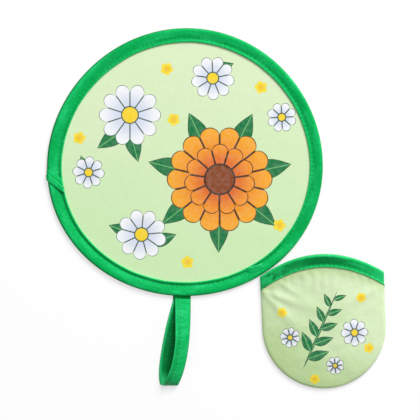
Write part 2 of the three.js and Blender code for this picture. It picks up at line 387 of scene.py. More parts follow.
def print_blossom(colour, place, look, middle, reach, petals, turn):
    """Draws one flower over a colour."""
    marks = place.group(
        blossom, middle=(*middle, 0), turn=radians(turn), reach=reach, petals=petals,
        notch=look["notch"], heart=look["heart"] * reach, line=look["line"]
    )
    petal = marks["Depth"].ease(look["heart"], 1.0).mix(look["inner"], look["outer"])
    colour = marks["Petal mask"].mix(colour, petal)
    colour = marks["Heart mask"].mix(colour, look["heart_colour"])
    return marks["Line mask"].mix(colour, look["line_colour"])


DAISY = dict(
    notch=0.3, heart=0.27, line=0.4,
    inner=paint(214, 222, 240), outer=paint(250, 251, 253),
    heart_colour=paint(250, 216, 40), line_colour=paint(70, 96, 84)
)
MARIGOLD = dict(
    notch=0.16, heart=0.3, line=0.7,
    inner=paint(236, 128, 40), outer=paint(252, 174, 44),
    heart_colour=paint(240, 150, 60), line_colour=paint(70, 42, 22)
)
MARIGOLD_TOP = dict(
    MARIGOLD, notch=0.2, heart=0.42,
    inner=paint(226, 110, 44), outer=paint(248, 156, 40), heart_colour=paint(140, 72, 36)
)
BUTTERCUP = dict(
    notch=0.34, heart=0.3, line=0.25,
    inner=paint(250, 214, 40), outer=paint(253, 236, 60),
    heart_colour=paint(250, 196, 44), line_colour=paint(240, 206, 50)
)

# Places and sizes of the print, in millimetres from the middle of the disc, with turns in degrees
MARIGOLD_PLACE = (30, -14)
MARIGOLD_LEAVES = 7
MARIGOLD_LEAF = (34, 17)
MARIGOLD_LEAF_ROOT = 30
MARIGOLD_LEAF_TURN = 12
LEAVES = [
    ((-52, 30), 215, 30), ((-48, 28), 285, 28), ((18, 78), 20, 26),
    ((-44, -62), 160, 24), ((-30, -70), 20, 24), ((-84, -12), 110, 20),
]
FLOWERS = [
    (BUTTERCUP, (-16, 82), 5.5, 5, 10), (BUTTERCUP, (66, 66), 5.5, 5, 40), (BUTTERCUP, (-92, 22), 5.5, 5, 0),
    (BUTTERCUP, (-10, 38), 5.5, 5, 25), (BUTTERCUP, (2, -86), 5.5, 5, 50), (BUTTERCUP, (82, -54), 5.5, 5, 5),
    (MARIGOLD, MARIGOLD_PLACE, 46, 14, 0), (MARIGOLD_TOP, MARIGOLD_PLACE, 31, 11, 9),
    (DAISY, (-48, 42), 27, 10, 0), (DAISY, (24, 74), 19, 9, 8), (DAISY, (-38, -62), 22, 9, 15),
    (DAISY, (-84, -8), 14, 8, 5), (DAISY, (84, 40), 13, 8, 20),
]


def flat_place(made):
    """The piece's own UV coordinates, which weave and print follow."""
    return Value(add_node(made.node_tree, "UVMap", {}, uv_map="UVMap"))


def cloth_place(made, span):
    """A cloth's place from its middle, in metres and in millimetres."""
    metres = flat_place(made).away_from((0.5, 0.5, 0.0)).scaled(span)
    return metres, metres.scaled(1000.0)


def woven(shader, colour, metres, wear, slack, depth):
    """A cloth's colour, worn paler in places, with its weave and slack."""
    threads = metres.group(weave, thread=CLOTH_WEAVE)
    worn = threads["Tone"].ease(0.3, 0.7, 0.0, wear).mix(colour, WORN_WHITE)
    cover(shader, worn, threads["Height"] * 0.02 + slack, depth)


def printed_taffeta():
    """Flowers and leaves strewn on cloudy pale green."""
    made, shader = new_material("printed_taffeta", **CLOTH_FINISH)
    metres, place = cloth_place(made, PRINT_SPAN)
    clouds = (metres.noise(12.0, 1.0) - 0.5) * 0.16
    colour = (metres.axes()[1] + clouds).ease(-0.09, 0.1).mix(GROUND_LOW, GROUND_TOP)
    for step in range(MARIGOLD_LEAVES):
        turn = 360 / MARIGOLD_LEAVES * step + MARIGOLD_LEAF_TURN
        aim = Vector((cos(radians(turn)), sin(radians(turn))))
        root = Vector(MARIGOLD_PLACE) + aim * MARIGOLD_LEAF_ROOT
        colour = print_leaf(colour, place, root, turn, *MARIGOLD_LEAF)
    for root, turn, length in LEAVES:
        colour = print_leaf(colour, place, root, turn, length, length / 2)
    for flower in FLOWERS:
        colour = print_blossom(colour, place, *flower)
    woven(shader, colour, metres, 0.06, metres.noise(45.0), DISC_RELIEF)
    return made


taffeta = printed_taffeta()
tip_faces = [(0, step + 1, step + 2) for step in range(GORE_STEPS)]
ring_faces = [tuple(corner + 1 for corner in face) for face in grid_faces(GORE_RINGS, GORE_STEPS + 1)]
for sector in range(SECTORS):
    verts, uv = [ring_middle + DISC_DROP], [(0.5, 0.5)]
    for ring in shares(GORE_RINGS)[1:]:
        for share in shares(GORE_STEPS):
            out = ring_offset(sector_start(sector) + SECTOR_ANGLE * share, DISC_INSET) * ring
            verts.append(ring_middle + out + DISC_DROP)
            uv.append((0.5 + out.x / PRINT_SPAN, 0.5 + out.y / PRINT_SPAN))
    gore = new_piece(numbered("gore", sector), verts, tip_faces + ring_faces, uv, taffeta)
    edge = ring_offset(sector_middle(sector), DISC_INSET)
    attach(gore, numbered("sector", sector))
    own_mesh(gore)
    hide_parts(numbered("disc_gore", sector))

# Rim binding
# Bright green satin tape, folded over the hoop and the disc's edge and sewn through near its inner edge.
# Each length runs from the middle of one sector to the middle of the next.
BINDING_WIDTH = 0.0123
BINDING_DRIFT = 0.0008
BINDING_UNEVEN = 0.00025
BINDING_WAVES = 60
BINDING_STEPS = 24
SMALL_ANGLE = 0.01
STITCH_INSET = 0.0027
STITCH_HEIGHT = 0.00018
STITCH = 0.0034
STITCH_GAP = 0.0010
STITCH_ROWS = 5
STITCH_ARCH = 1.4
STITCH_SUNK = 0.6
STITCH_TIP = 0.45
THREAD = 0.00022
THREAD_SIDES = 6
GROOVE_HEIGHT = 0.0001
HEM_HEIGHT = 0.00155
HEM_SKEW = 1.7
HEM_STEPS = 6
RIM_CREST = (0.0023, RIM_HALF)
RIM_BULGE = 1.8
RISE_STEPS = 6
FOLD_STEPS = 5
TAPE_WEAVE = 0.00028
TAPE_RELIEF = 0.0006
PUCKER_REACH = 0.0017
ACROSS = (1.0, 0.35, 1.0)
ALONG = (0.3, 1.2, 1.0)
TAPE_SHINE = paint(70, 255, 160)
TAPE_LIGHT = paint(36, 206, 118)
TAPE_COLOURS = (paint(12, 182, 90), paint(6, 150, 66), TAPE_LIGHT)
TAPE_SHADE = paint(2, 92, 32)
THREAD_PLIES = (2600, 1500, 900)
THREAD_RELIEF = 0.00005


def pucker_group():
    """Small gathers, where each stitch of a sewn line pulls the tape in, with painted shade in their
    dimples.
    """
    given = new_group("puckers", ["Place"], ["Line", "Stitch", "Reach"])
    x, y = given["Place"].axes()
    wander = given["Place"].noise(140.0) * 5.0
    ripple = (x / given["Stitch"] * (2 * pi) + wander).math("SINE")
    off = (y - given["Line"]) / given["Reach"]
    near = (off * off * -1.0).math("EXPONENT")
    return put_out(x.tree, {"Height": ripple * near, "Shade": ripple.fade(-1.0, 0.2) * near})


puckers = pucker_group()


def satin_tape(name, colours, sewn_at, width, grain, groove, fold_shade, marks=None):
    """Streaked satin, with painted shade in the puckers and in the groove at the sewn line,
    a painted highlight on the sewn edge and painted shade along the fold.
    Places are in metres along the tape and across it from its sewn edge, with the reverse below zero.
    A piece's own folds, painted shades and painted highlights are added last, by its function for marks."""
    main, dark, light = colours
    made, shader = new_material(name, Roughness=0.42, Specular_IOR_Level=0.5, Specular_Tint=TAPE_SHINE)
    place = flat_place(made)
    across = abs(place.axes()[1])
    streaks = place.stretched(grain).noise(110.0, 4.0)
    blotches = place.noise(330.0, 3.0)
    patches = place.noise(34.0)
    gathers = place.group(puckers, line=sewn_at, stitch=STITCH + STITCH_GAP, reach=PUCKER_REACH)
    threads = place.group(weave, thread=TAPE_WEAVE)
    colour = streaks.ease(0.42, 0.72).mix(main, light)
    colour = blotches.ease(0.4, 0.75, 0.0, 0.4).mix(colour, dark)
    colour = patches.ease(0.45, 0.7, 0.0, 0.4).mix(colour, dark)
    # Painted highlight on the sewn edge.
    colour = across.fade(0.0004, 0.0014, 0.8).mix(colour, light)
    # Painted shade in the puckers' dimples.
    colour = (gathers["Shade"] * 0.15).mix(colour, TAPE_SHADE)
    # Painted shade in the groove at the sewn line, at a level given by groove and stronger in patches.
    groove_shade_strength = patches.ease(0.3, 0.6, 0.45, 1.0)
    colour = (abs(across - sewn_at).fade(0.0001, 0.001, groove) * groove_shade_strength).mix(colour, TAPE_SHADE)
    # Painted shade along the tape's outer fold.
    if fold_shade:
        colour = abs(across - width).fade(0.0002, 0.001, fold_shade).mix(colour, TAPE_SHADE)
    if marks:
        colour = marks(colour, place)
    relief = gathers["Height"] * 0.15 + blotches * 0.6 + streaks + threads["Height"] * 0.03
    cover(shader, colour, relief, TAPE_RELIEF)
    return made


def sewing_thread(name, dark, light):
    """Twisted polyester thread with fine slanted plies."""
    made, shader = new_material(name, Roughness=0.6, Specular_IOR_Level=0.15)
    plies = solid_place(made).stretched(THREAD_PLIES).noise(1.0)
    cover(shader, plies.mix(dark, light), plies, THREAD_RELIEF)
    return made


def binding_width(angle):
    """The tape was sewn a little deeper at the left of the ring."""
    return BINDING_WIDTH - BINDING_DRIFT * cos(angle + FAN_TURN)


def folded_section(width, sewn, groove, hem, crest, fold, bulge=1.0):
    """One side of a folded tape's section, as inset and height, from the sewn edge to the fold.
    A rolled hem dips to the groove of the stitches and rises to a crest, given by inset and height.
    A bulge over 1 makes the rise a curve."""
    section = []
    for share in shares(HEM_STEPS)[:-1]:
        section.append((width - sewn * share ** HEM_SKEW, groove + hem * sin(pi * share)))
    crest_inset, crest_height = crest
    rise, run = crest_height - groove, width - sewn - crest_inset
    for share in shares(RISE_STEPS)[:-1]:
        left = 1 - share
        section.append((crest_inset + run * left, groove + rise * (1 - left ** bulge)))
    for share in shares(FOLD_STEPS):
        turn = pi / 2 * share
        section.append((crest_inset - (crest_inset - fold) * sin(turn), crest_height * cos(turn)))
    return section


def binding_top(width):
    return folded_section(width, STITCH_INSET, GROOVE_HEIGHT, HEM_HEIGHT, RIM_CREST, 0.0, RIM_BULGE)


def binding_profile(width):
    """The whole section, from the top edge round the fold to the bottom edge."""
    top = binding_top(width)
    return top + [(inset, -height) for inset, height in reversed(top[:-1])]


def closed_tube(rows, columns):
    """Faces of a tube of closed rows, with a face over each end."""
    last = (rows - 1) * columns
    ends = [tuple(range(columns)), tuple(last + corner for corner in reversed(range(columns)))]
    return grid_faces(rows, columns, wrap=True) + ends


def add_stitch(verts, faces, uv, start, end, up, radius=THREAD):
    """Adds a thread that dips into the tape at both ends to the lists of a mesh."""
    along = end - start
    side = along.cross(up).normalized()
    lift = side.cross(along).normalized()
    base = len(verts)
    for share in shares(STITCH_ROWS - 1):
        arch = sin(pi * share)
        middle = start + along * share + lift * (radius * (STITCH_ARCH * arch - STITCH_SUNK))
        swell = radius * (STITCH_TIP + (1 - STITCH_TIP) * arch)
        for corner in range(THREAD_SIDES):
            turn = 2 * pi * corner / THREAD_SIDES
            verts.append(middle + side * (swell * cos(turn)) + lift * (swell * sin(turn)))
            uv.append((0.0, 0.0))
    faces.extend(tuple(base + corner for corner in face) for face in closed_tube(STITCH_ROWS, THREAD_SIDES))


def binding_length(name, start, span):
    """Binding over a span of the ring, with stitches on both sides of the fan."""
    verts, uv = [], []
    steps = round(BINDING_STEPS * span / SECTOR_ANGLE)
    for share in shares(steps):
        angle = start + span * share
        width = binding_width(angle)
        profile = binding_profile(width)
        for inset, height in profile:
            place = ring_point(angle, inset, height)
            drift = noise.noise(place * BINDING_WAVES) * BINDING_UNEVEN * min(1.0, inset / width)
            verts.append(place + ring_offset(angle, 0).normalized() * drift)
            uv.append((angle * FAN_WIDTH / 2, copysign(width - inset, height)))
    faces = turned_over(grid_faces(steps + 1, len(profile), wrap=True))
    tape_faces = len(faces)
    pitch = (STITCH + STITCH_GAP) / (FAN_WIDTH / 2)
    for count in range(ceil(start / pitch), ceil((start + span) / pitch)):
        for face in (1, -1):
            ends = []
            for angle in (count * pitch, count * pitch + STITCH / (FAN_WIDTH / 2)):
                ends.append(ring_point(angle, binding_width(angle) - STITCH_INSET, face * STITCH_HEIGHT))
            add_stitch(verts, faces, uv, *ends, Vector((0, 0, face)))
    return new_piece(name, verts, faces, uv, tape, thread, second_from=tape_faces)


tape = satin_tape("satin_tape", TAPE_COLOURS, STITCH_INSET, BINDING_WIDTH, ALONG, 0.16, 0.72)
thread = sewing_thread("sewing_thread", paint(14, 156, 74), paint(32, 192, 102))
hinges = {joint["child"]: Vector(joint["pos_m"]) for joint in frame["joints"] if joint["type"] == "hinge"}


def bend_with(piece, sector):
    """Bakes the piece's place into its mesh. The ring's way either side of the hinge after the sector is
    worked out but not used.
    """
    angle = sector_start(sector + 1)
    ahead, behind = ring_offset(angle + SMALL_ANGLE, 0), ring_offset(angle - SMALL_ANGLE, 0)
    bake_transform(piece)


for sector in range(SECTORS - 1):
    piece = binding_length(numbered("binding", sector), sector_middle(sector), SECTOR_ANGLE)
    bend_with(piece, sector)
    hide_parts(numbered("rim_binding", sector))
for name, sector, start in (("binding_start", 0, sector_start), ("binding_end", SECTORS - 1, sector_middle)):
    piece = binding_length(name, start(sector), SECTOR_ANGLE / 2)
    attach(piece, numbered("sector", sector))
    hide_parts(numbered("rim_binding", sector))

# Binding laps
# The tape's end is turned under on the slant and laps over its beginning at the left of the ring.
# A short second end shows at the inner edge below on the right. Both are sewn on.
LAP_SLANT = radians(49)
LAP_HEM = 0.0056
LAP_SECTOR = 11
LAP_ANGLE = radians(182.2)
LAP_COLUMNS = 28
LAP_BRIDGE = 0.0046
LAP_WRAP = 0.002
LAP_TUCK = 0.3
HEM_CREST = STITCH_INSET * 0.5 ** HEM_SKEW + 0.00001
UNSEWN = -0.01
END_SECTOR = 1
END_ANGLE = radians(-59.3)
END_INSET = 0.0048
END_EDGE = paint(60, 222, 140)
# Rows across the rim: place along it, slant, rise over the binding and how far in they reach
LAP_ROWS = [
    (-0.0078, 0.8, -0.0004, 1.0), (-0.0068, 0.8, 0.0, 1.0), (-0.005, 0.9, 0.0003, 1.0),
    (-0.0025, 0.95, 0.0004, 1.0), (-0.0004, 1.0, 0.0004, 1.0), (0.0001, 1.0, 0.0008, 1.0),
    (0.0008, 1.0, 0.00095, 1.0), (LAP_HEM / 2, 1.0, 0.001, 0.98), (LAP_HEM - 0.0006, 1.0, 0.00095, 0.96),
    (LAP_HEM - 0.0001, 1.0, 0.0007, 0.95), (LAP_HEM, 1.0, 0.0003, 0.94), (LAP_HEM, 1.0, -0.0003, 0.94),
]
END_ROWS = [
    (-0.016, 0.0, -0.0006, 1.0), (-0.013, 0.0, -0.0001, 0.98), (-0.010, 0.0, 0.0004, 0.9),
    (-0.006, 0.0, 0.0006, 0.82), (-0.003, -0.1, 0.0008, 0.76), (-0.0006, -0.15, 0.0008, 0.74),
    (0.0, -0.15, 0.0005, 0.73), (0.0, -0.15, -0.0003, 0.72),
]


def lap_height(inset, width):
    """Height of the binding's upper side, bridged straight over the sewn groove."""
    top = reversed(binding_top(width))
    points = [point for point in top if point[0] <= LAP_BRIDGE or point[0] >= width - HEM_CREST]
    for (low, low_height), (high, high_height) in zip(points, points[1:]):
        if low <= inset <= high:
            return low_height + (high_height - low_height) * (inset - low) / (high - low)
    return points[-1][1]


def lap_piece(name, middle_angle, rows, inset_start, made):
    """A second layer of tape, in rows across the rim."""
    width = binding_width(middle_angle)
    verts, uv = [], []
    for along, slant, rise, reach in rows:
        for share in shares(LAP_COLUMNS):
            inset = inset_start + (width * reach - inset_start) * share
            shift = along + slant * (inset - width / 2) * tan(LAP_SLANT)
            angle = middle_angle + shift / (FAN_WIDTH / 2)
            outwards = rise * max(0.0, 1 - inset / LAP_WRAP)
            inwards = LAP_TUCK * rise if share == 1 else 0.0
            verts.append(ring_point(angle, inset - outwards + inwards, lap_height(inset, width) + rise))
            uv.append((along, width * reach - inset))
    return new_piece(name, verts, grid_faces(len(rows), LAP_COLUMNS + 1), uv, made)


def turned_under(colour, place, fold):
    """Draws a fold across the tape, with painted shadow in its slit and a painted highlight on its rim."""
    off_fold = place.axes()[0] - fold
    colour = abs(off_fold + 0.001).fade(0.0002, 0.0008, 0.8).mix(colour, TAPE_LIGHT)
    return abs(off_fold).fade(0.0001, 0.0007, 0.9).mix(colour, TAPE_SHADE)


def lap_marks(colour, place):
    """The folds at both sides of the lap's hem."""
    return turned_under(turned_under(colour, place, 0.0), place, LAP_HEM)


def end_marks(colour, place):
    """The short end's fold, and its pale cut edge."""
    cut_edge = place.axes()[1].fade(0.0003, 0.0012, 0.9)
    return cut_edge.mix(turned_under(colour, place, 0.0), END_EDGE)


lap_satin = satin_tape("lap_satin", TAPE_COLOURS, UNSEWN, BINDING_WIDTH, ALONG, 0.0, 0.3, lap_marks)
lap = lap_piece("lap", LAP_ANGLE, LAP_ROWS, 0.0, lap_satin)
bend_with(lap, LAP_SECTOR)
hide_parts("binding_lap")
end_satin = satin_tape("end_satin", TAPE_COLOURS, UNSEWN, BINDING_WIDTH, ACROSS, 0.0, 0.0, end_marks)
tape_end = lap_piece("tape_end", END_ANGLE, END_ROWS, END_INSET, end_satin)
bend_with(tape_end, END_SECTOR)
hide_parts("rim_binding_02", "rim_binding_03")

# Strap loop
# One length of the same tape, folded lengthwise and sewn down its middle, doubled and sewn under the rim.
# The back strand lies on the table, and the front strand swells up and curls over to the left at the turn.
STRAP_WIDTH = 0.0135
STRAP_THICKNESS = 0.0012
STRAP_LENGTH = 0.0766
STRAP_START = -0.0009
STRAP_ASIDE = 0.0007
STRAP_SWELL = 0.0122
STRAP_SAG = 0.0011
STRAP_BOW = 1.4
STRAP_LEAN_FRONT = 0.010
STRAP_LEAN_BACK = 0.023
STRAP_BACK_BEND = 0.0086
STRAP_STAGGER = 0.0013
STRAP_PRESS = 0.5
STRAP_DIP = 0.00095
STRAP_PRESS_REACH = 0.005
STRAP_ROLL = radians(28)
TURN_TIGHTEN = 0.0022
TURN_SHARP = 12
STRAP_STEPS = 120
STRAP_FINE_STEPS = 4000
SMALL_SHARE = 0.002
STRAP_SEWN = -0.0013
STRAP_STITCH = 0.0019
STRAP_STITCH_PITCH = STRAP_STITCH + 0.0009
STRAP_THREAD = 0.0003
STRAP_SUNK = 0.42
STRAND_GAP = 0.0003
STRAP_COLOURS = (paint(17, 185, 96), paint(8, 152, 70), paint(48, 206, 124))
TURN_HIGHLIGHT = paint(70, 226, 146)
strap_root = hinges["strap"]


def strap_line(share):
    """The middle line at a share of the way round, as distance from the root and height."""
    turn = 2 * pi * share
    out = (1 - cos(turn)) / 2
    stack = (STRAP_THICKNESS + STRAND_GAP) / 2 * cos(turn / 2)
    bow = sin(turn) * sin(turn / 2) ** STRAP_BOW
    return STRAP_START + out * STRAP_LENGTH, stack + (STRAP_SWELL if bow > 0 else STRAP_SAG) * bow


def strap_place(out, height, across):
    """A point of the strap. It leans left towards the turn, and the front strand's left edge rolls up.
    Near the root, both strands are pressed thin and dip under the rim."""
    share = min(max((out - STRAP_START) / STRAP_LENGTH, 0.0), 1.0)
    rise = min(max((height + STRAP_THICKNESS) / (2 * STRAP_THICKNESS), 0.0), 1.0)
    front = rise * rise * (3 - 2 * rise)
    tighten = TURN_TIGHTEN * share ** TURN_SHARP
    lean_back = STRAP_STAGGER + STRAP_LEAN_BACK * share - STRAP_BACK_BEND * share ** 2 - tighten
    lean_front = STRAP_LEAN_FRONT * share ** 3 + tighten / 2
    lean = lean_back + (lean_front - lean_back) * front
    roll = STRAP_ROLL * front * min(1.0, 2 * share) * (1 - share ** TURN_SHARP)
    right_edge = STRAP_WIDTH / 2
    rolled = right_edge - (right_edge - across) * cos(roll)
    near_root = exp(-max(out - STRAP_START, 0.0) / STRAP_PRESS_REACH)
    pressed = height * (1 - STRAP_PRESS * near_root) - STRAP_DIP * near_root
    return strap_root + Vector((STRAP_ASIDE + rolled - lean, -out, pressed - across * sin(roll)))


def strap_run(share):
    """The direction of the middle line."""
    ahead, behind = strap_line(min(share + SMALL_SHARE, 1)), strap_line(max(share - SMALL_SHARE, 0))
    return Vector((ahead[0] - behind[0], ahead[1] - behind[1])).normalized()


def strap_side(share, thick, across):
    """A point of the strap off its middle line."""
    out, height = strap_line(share)
    run = strap_run(share)
    return strap_place(out - run.y * thick, height + run.x * thick, across)


def strap_profile():
    """The section, with rounded folds and a groove along the seam."""
    half, thick = STRAP_WIDTH / 2, STRAP_THICKNESS / 2
    upper = [
        (-half, 0.0), (-half + 0.0002, 0.7 * thick), (-half + 0.0008, thick),
        (STRAP_SEWN - 0.0012, 0.95 * thick), (STRAP_SEWN, 0.62 * thick), (STRAP_SEWN + 0.0012, 0.95 * thick),
        (half / 2, thick), (half - 0.0008, 0.95 * thick), (half - 0.0002, 0.6 * thick), (half, 0.0),
    ]
    return upper + [(across, -height) for across, height in reversed(upper[1:-1])]


def spaced_strap():
    """Shares of the way round that lie an even distance apart, and the whole length."""
    line = [strap_line(share) for share in shares(STRAP_FINE_STEPS)]
    lengths = [0.0, *accumulate(map(dist, line, line[1:]))]
    steps = [bisect_left(lengths, lengths[-1] * share) for share in shares(STRAP_STEPS)]
    return [step / STRAP_FINE_STEPS for step in steps], lengths[-1]


strap_shares, strap_length = spaced_strap()


def strap_share(distance):
    """The share of the way round at a distance along the strap."""
    place = distance / strap_length * STRAP_STEPS
    low = int(place)
    return strap_shares[low] + (strap_shares[low + 1] - strap_shares[low]) * (place - low)


def strap_loop():
    """The doubled tape, with stitches on both its sides."""
    profile = strap_profile()
    verts, uv = [], []
    for share, way in zip(strap_shares, shares(STRAP_STEPS)):
        for across, thick in profile:
            verts.append(strap_side(share, thick, across))
            uv.append((strap_length * way, copysign(across + STRAP_WIDTH / 2, thick)))
    faces = closed_tube(STRAP_STEPS + 1, len(profile))
    tape_faces = len(faces)
    for count in range(1, int(strap_length / STRAP_STITCH_PITCH) - 1):
        first = strap_share(count * STRAP_STITCH_PITCH)
        last = strap_share(count * STRAP_STITCH_PITCH + STRAP_STITCH)
        run = strap_run(last)
        for face in (1, -1):
            thick = face * STRAP_SUNK * STRAP_THICKNESS / 2
            ends = [strap_side(share, thick, STRAP_SEWN) for share in (first, last)]
            add_stitch(verts, faces, uv, *ends, Vector((0, run.y * face, run.x * face)), STRAP_THREAD)
    return new_piece("strap_tape", verts, faces, uv, strap_satin, strap_thread, second_from=tape_faces)


def strap_marks(colour, place):
    """Painted shade on the inner side and outside the turn, a painted highlight inside the turn, and painted
    shade left of the seam.
    """
    along, across = place.axes()
    from_turn = abs(along - strap_length / 2)
    inner = across.fade(-0.0003, 0.0) * abs(across).ease(0.0003, 0.0009)
    # Painted shade on the inner side, cast by the front strand, fading towards the turn.
    colour = (inner * from_turn.ease(0.004, 0.018, 0.0, 0.65)).mix(colour, TAPE_SHADE)
    # Painted highlight on the inner side at the turn.
    colour = (inner * from_turn.fade(0.004, 0.014, 0.85)).mix(colour, TURN_HIGHLIGHT)
    # Painted shade outside the turn.
    colour = (across.ease(0.0, 0.003) * from_turn.fade(0.001, 0.010, 0.4)).mix(colour, TAPE_SHADE)
    # Painted shade left of the seam, where the strand tilts away from the light.
    left = across.ease(0.0008, 0.0018) * across.fade(0.0048, 0.0056, 0.22)
    return left.mix(colour, TAPE_SHADE)


sewn_at = STRAP_WIDTH / 2 + STRAP_SEWN
strap_satin = satin_tape("strap_satin", STRAP_COLOURS, sewn_at, STRAP_WIDTH, ACROSS, 0.18, 0.45, strap_marks)
strap_thread = sewing_thread("pale_thread", paint(40, 222, 124), paint(74, 238, 150))
strap = strap_loop()
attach(strap, "strap")
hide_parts("strap_loop")

# Strap root
# Both ends of the strap are rolled together against the rim's edge and bar-tacked through it.
# The root is of the strap's own tape, drawn hard by the stitches, and lies in the shade of the rim; its
# darker colours are painted shade.
TACK_HEIGHT = 0.00135
TACK_TOP = 0.0003
TACK_REACH = 0.00155
TACK_TUCK = 0.0007
TACK_COLUMNS = 24
TACK_SIDES = 14
TACK_END = 0.55
TACK_UNEVEN = 0.06
TACK_WAVE = 1.9
# Darker tape colours for the root, as painted shade under the rim.
ROOT_SHADE_COLOURS = (paint(3, 104, 40), paint(1, 80, 26), paint(10, 128, 56))


def strap_tack():
    """A flat, uneven roll along the rim's edge, with its back tucked under the rim."""
    verts, uv = [], []
    low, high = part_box("strap_tack")
    rim_radius = ring_offset(STRAP_ANGLE, 0).length
    for column in range(TACK_COLUMNS + 1):
        x = low.x + (high.x - low.x) * (column / TACK_COLUMNS)
        rim_edge = ring_middle.y - sqrt(rim_radius ** 2 - (x - ring_middle.x) ** 2)
        size = 1 - TACK_UNEVEN * (1 - cos(column * TACK_WAVE))
        if column in (0, TACK_COLUMNS):
            size *= TACK_END
        for side in range(TACK_SIDES):
            turn = 2 * pi * side / TACK_SIDES
            reach = rim_edge + TACK_TUCK - strap_root.y if cos(turn) > 0 else TACK_REACH * size
            y = strap_root.y + reach * cos(turn)
            rise = (TACK_TOP if sin(turn) > 0 else TACK_HEIGHT) * size * sin(turn)
            verts.append(Vector((x + STRAP_ASIDE, y, strap_root.z + rise)))
            uv.append((x, STRAP_WIDTH / 2 + TACK_REACH * (turn - pi)))
    faces = turned_over(closed_tube(TACK_COLUMNS + 1, TACK_SIDES))
    return new_piece("strap_root", verts, faces, uv, root_shade_satin)


root_shade_satin = satin_tape("root_shade_satin", ROOT_SHADE_COLOURS, STRAP_WIDTH / 2, STRAP_WIDTH, ACROSS, 0.5, 0.0)
tack = strap_tack()
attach(tack, "strap")
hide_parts("strap_tack")

# Pouch panels
# Two round-bottomed cuts of the disc's cloth, sewn face to face along the edge and turned inside out.
# The front one swells a little, is gathered by the mouth tape and creased from the tape's ends.
POUCH_WIDTH = 0.1074
POUCH_SIDE = 0.045
POUCH_ARCH = 0.0163
POUCH_ROLL = 0.0014
POUCH_SHOULDER = 0.003
POUCH_DOME = 0.004
POUCH_DOME_REACH = 0.045
POUCH_TURN = radians(2.4)
POUCH_BACK_HEIGHT = 0.00105
POUCH_SEAM_HEIGHT = 0.0019
POUCH_TAPE = 0.011
POUCH_COLUMNS = 96
POUCH_ROWS = 96
POUCH_SPAN = 0.140
POUCH_RELIEF = 0.0003
PUCKER_PITCH = 0.0085
PUCKER_HEIGHT = 0.0008
PUCKER_FADE = 0.010
FREE_BELOW_TAPE = 0.004
CREASE_HEIGHT = 0.0011
SLACK_HEIGHT = 0.0007
FINE_SLACK_HEIGHT = 0.0003
MOUTH_LIFT = 0.0028
MOUTH_LIFT_REACH = 0.013
POUCH_LIGHT = paint(217, 238, 192)
POUCH_SHADE = paint(192, 221, 156)
pouch_half = POUCH_WIDTH / 2
back_low, back_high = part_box("pouch_back_panel")
pouch_middle = Vector((back_high.x - pouch_half, back_low.y + pouch_half, 0))
tape_left = (-pouch_half, POUCH_SIDE - POUCH_TAPE)
tape_right = (pouch_half, POUCH_SIDE - POUCH_TAPE)
# Creases of the front panel: share of the full height, start, turn in degrees, length and width
CREASES = [
    (1.0, tape_left, -22, 0.062, 0.0042), (1.0, tape_left, -48, 0.058, 0.0048),
    (0.7, (-0.040, 0.043), -38, 0.045, 0.0034),
    (0.7, tape_right, 205, 0.060, 0.006), (0.6, tape_right, 236, 0.050, 0.006),
]


def pouch_point(x, y, z):
    """A point given across and along the pouch from the middle of its round bottom."""
    cosine, sine = cos(POUCH_TURN), sin(POUCH_TURN)
    return pouch_middle + Vector((cosine * x - sine * y, sine * x + cosine * y, z))


def arched(x):
    """Rise of the mouth's arch, from 0 at the sides to 1 in the middle."""
    return 1 - (x / pouch_half) ** 2


def mouth_line(x):
    return POUCH_SIDE + POUCH_ARCH * arched(x)


def bottom_line(x):
    return -sqrt(max(pouch_half ** 2 - x ** 2, 0))


def swell(x, y):
    """Height of the front panel over its seam: rolled along its edge, then gently domed."""
    edge = max(pouch_half - (hypot(x, y) if y < 0 else abs(x)), 0.0)
    inner = 1 - min(edge / POUCH_SHOULDER, 1.0)
    slack = 1 - min(edge / POUCH_DOME_REACH, 1.0)
    return POUCH_ROLL * sqrt(1 - inner * inner) + POUCH_DOME * (1 - slack * slack)


def crease(x, y, start, turn, length, width):
    """A soft fold that starts sharp and runs out, as a share of its full height."""
    turn = radians(turn)
    dx, dy = x - start[0], y - start[1]
    along = (dx * cos(turn) + dy * sin(turn)) / length
    off = (dy * cos(turn) - dx * sin(turn)) / (width * (0.4 + max(along, 0)))
    if not 0 < along < 1:
        return 0.0
    return sin(pi * along ** 0.6) * exp(-off * off)


def rumple(x, y):
    """Gathers below the tape, creases from its ends and a slack middle."""
    place = Vector((x, y, 0))
    below = mouth_line(x) - POUCH_TAPE - y
    phase = 2 * pi * x / PUCKER_PITCH + 3 * noise.noise(place * 70)
    strength = max(0.0, 0.5 + 1.4 * noise.noise(place * 45))
    gather = PUCKER_HEIGHT * strength * sin(phase) * exp(-below / PUCKER_FADE)
    folds = CREASE_HEIGHT * sum(share * crease(x, y, *fold) for share, *fold in CREASES)
    slack = SLACK_HEIGHT * noise.noise(place * 38) + FINE_SLACK_HEIGHT * noise.noise(place * 95)
    free = min(max(below / FREE_BELOW_TAPE, 0.0), 1.0)
    held = min(1.0, swell(x, y) / (POUCH_ROLL + POUCH_DOME / 2)) * free
    return held * (gather + folds + slack)


def mouth_lift(x, y):
    """The front panel stands up a little along its mouth, most in the middle."""
    return MOUTH_LIFT * arched(x) * exp(-(mouth_line(x) - y) / MOUTH_LIFT_REACH)


def front_height(x, y):
    return POUCH_SEAM_HEIGHT + swell(x, y) + mouth_lift(x, y) + rumple(x, y)


def back_height(x, y):
    return POUCH_BACK_HEIGHT


def pouch_columns(steps):
    """Places across the pouch, closer together at its sides."""
    return [pouch_half * sin(pi * (share - 0.5)) for share in shares(steps)]


